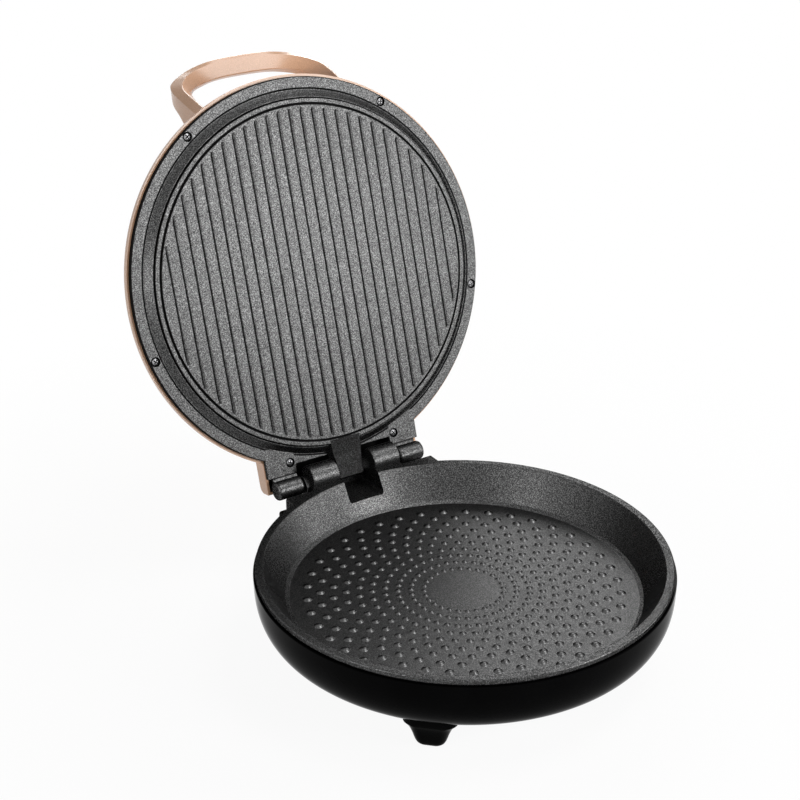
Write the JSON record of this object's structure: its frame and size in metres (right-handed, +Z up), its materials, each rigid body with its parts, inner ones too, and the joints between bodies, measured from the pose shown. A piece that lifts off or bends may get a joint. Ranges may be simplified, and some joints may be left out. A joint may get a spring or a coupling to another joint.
{
  "type": "electric baking pan",
  "caption": "Round electric baking pan: bump-floored lower tray in a gloss base on short legs, hinged ribbed heating lid with a domed metallic shell and loop handle.",
  "frame": {"origin": "centre of the bounding box's underside with the lid open as pictured, on the plane of the foot pads", "axes": "+X to the right seen from the front, +Y from the front towards the hinge, +Z up"},
  "size_m": [0.3226, 0.5086, 0.385],
  "materials": {
    "amber_lens": "translucent amber",
    "black_plastic": "fine matt moulded",
    "brass_pin": "plated",
    "ceramic_sleeve": "unglazed",
    "gloss_black": "high gloss moulded",
    "heater_sheath": "oxidised stainless sheath",
    "reflector_metal": "bright rolled sheet",
    "rose_gold": "satin rose-gold metallic lacquer",
    "rubber_foot": "moulded",
    "screw_steel": "zinc plated",
    "tray_metal": "die-cast aluminium under a matt dark grey speckled non-stick coating"
  },
  "bodies": {
    "base": {"lower_tray": "tray_metal", "base_shell": "gloss_black", "foot_pad_front_left": "rubber_foot", "foot_pad_front_right": "rubber_foot", "foot_pad_rear_left": "rubber_foot", "foot_pad_rear_right": "rubber_foot", "hinge_pin_left": "screw_steel", "hinge_pin_right": "screw_steel", "lower_heater": "heater_sheath", "lower_reflector": "reflector_metal", "lower_reflector_screw": "screw_steel", "lower_thermostat": "black_plastic", "lower_thermal_fuse": "ceramic_sleeve", "base_screw_1": "screw_steel", "base_screw_2": "screw_steel", "base_screw_3": "screw_steel", "base_screw_4": "screw_steel", "inlet_housing": "black_plastic", "inlet_pin_line": "brass_pin", "inlet_pin_neutral": "brass_pin", "inlet_pin_earth": "brass_pin"},
    "lid": {"upper_tray": "tray_metal", "upper_shell": "rose_gold", "lid_handle": "rose_gold", "tray_screw_1": "screw_steel", "tray_screw_2": "screw_steel", "tray_screw_3": "screw_steel", "tray_screw_4": "screw_steel", "tray_screw_5": "screw_steel", "tray_screw_6": "screw_steel", "upper_heater": "heater_sheath", "upper_reflector": "reflector_metal", "upper_reflector_screw": "screw_steel", "upper_thermostat": "black_plastic", "upper_thermal_fuse": "ceramic_sleeve", "control_panel": "black_plastic", "upper_heat_lens": "amber_lens", "lower_heat_lens": "amber_lens", "switch_module": "black_plastic", "handle_screw_left": "screw_steel", "handle_screw_right": "screw_steel"},
    "upper_button": {"upper_heat_button": "rose_gold"},
    "lower_button": {"lower_heat_button": "rose_gold"}
  },
  "joints": [
    {"name": "lid_hinge", "type": "hinge", "parent": "base", "child": "lid", "pos_m": [0, 0.07691, 0.06915], "axis": [1, 0, 0], "range_deg": [0, 106.8]},
    {"name": "upper_button_press", "type": "slide", "parent": "lid", "child": "upper_button", "axis": [0, -0.9975, 0.0708], "range_m": [0, 0.0016], "stiffness_N_per_m": 900, "springref_m": -0.001},
    {"name": "lower_button_press", "type": "slide", "parent": "lid", "child": "lower_button", "axis": [0, -0.9975, 0.0708], "range_m": [0, 0.0016], "stiffness_N_per_m": 900, "springref_m": -0.001}
  ]
}
